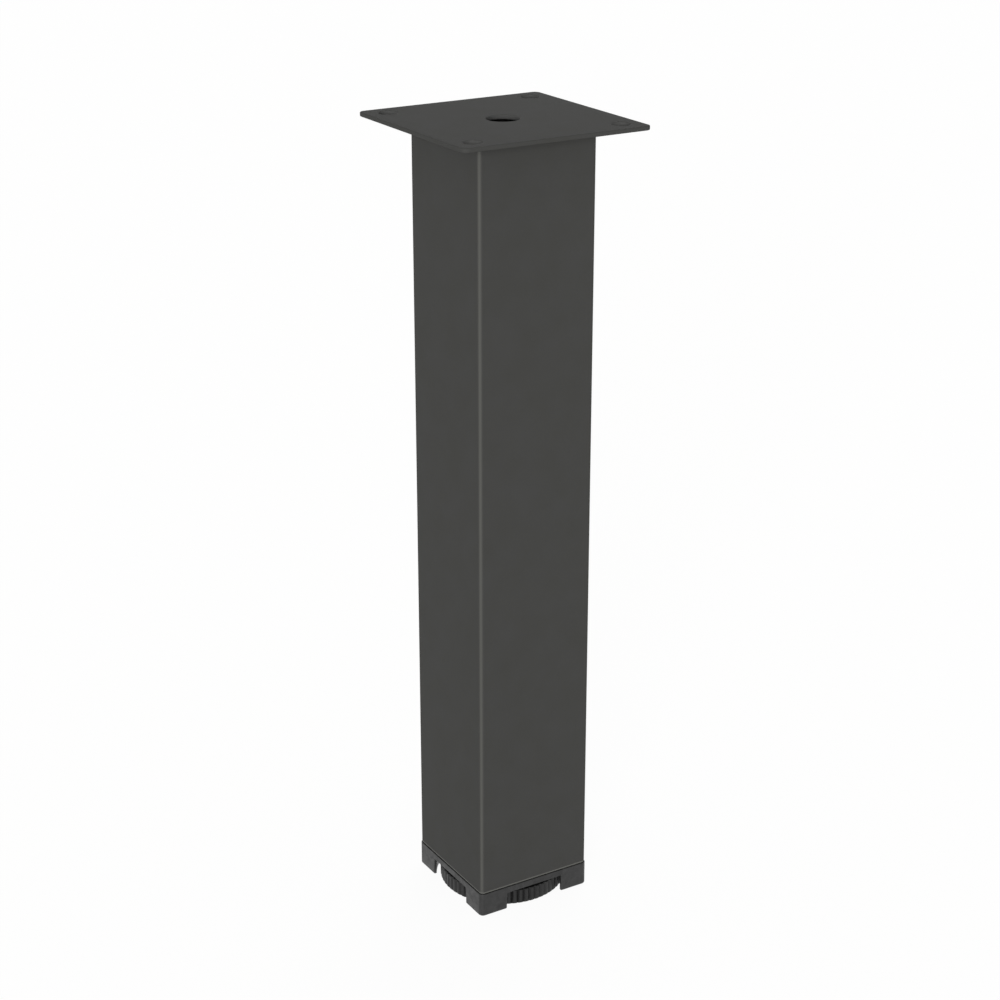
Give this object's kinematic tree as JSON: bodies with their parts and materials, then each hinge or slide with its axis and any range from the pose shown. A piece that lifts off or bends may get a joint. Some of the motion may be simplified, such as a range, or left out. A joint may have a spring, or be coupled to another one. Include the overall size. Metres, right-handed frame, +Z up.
{
  "type": "adjustable furniture leg",
  "caption": "Square steel furniture leg with a thin drilled screw plate on top and a notched plastic shoe below, whose knurled wheel winds out to level the furniture.",
  "frame": {"origin": "on the floor under the tube's axis, at the bottom of the shoe's posts", "axes": "+Z up along the tube to the screw plate, X and Y square to the tube's faces"},
  "size_m": [0.094, 0.094, 0.38],
  "materials": {
    "powder_coat": "fine satin anthracite powder coat on steel",
    "shoe_plastic": "moulded dark grey polypropylene with a fine matt grain",
    "wheel_plastic": "moulded charcoal nylon, matt",
    "zinc_steel": "bright zinc plating"
  },
  "bodies": {
    "leg": {"top_plate": "powder_coat", "leg_tube": "powder_coat", "plate_weld": "powder_coat", "foot_shoe": "shoe_plastic", "captive_nut": "zinc_steel"},
    "stud": {"adjuster_stud": "zinc_steel"},
    "wheel": {"adjuster_wheel": "wheel_plastic"}
  },
  "joints": [
    {"name": "stud_travel", "type": "slide", "parent": "leg", "child": "stud", "axis": [0, 0, -1], "range_m": [0, 0.015]},
    {"name": "wheel_turn", "type": "hinge", "parent": "stud", "child": "wheel", "pos_m": [0, 0, 0.004], "axis": [0, 0, -1], "range_deg": [0, 3600]}
  ],
  "couplings": [
    {"joint": "stud_travel", "follows": "wheel_turn", "m_per_rad": 0.00023873}
  ]
}
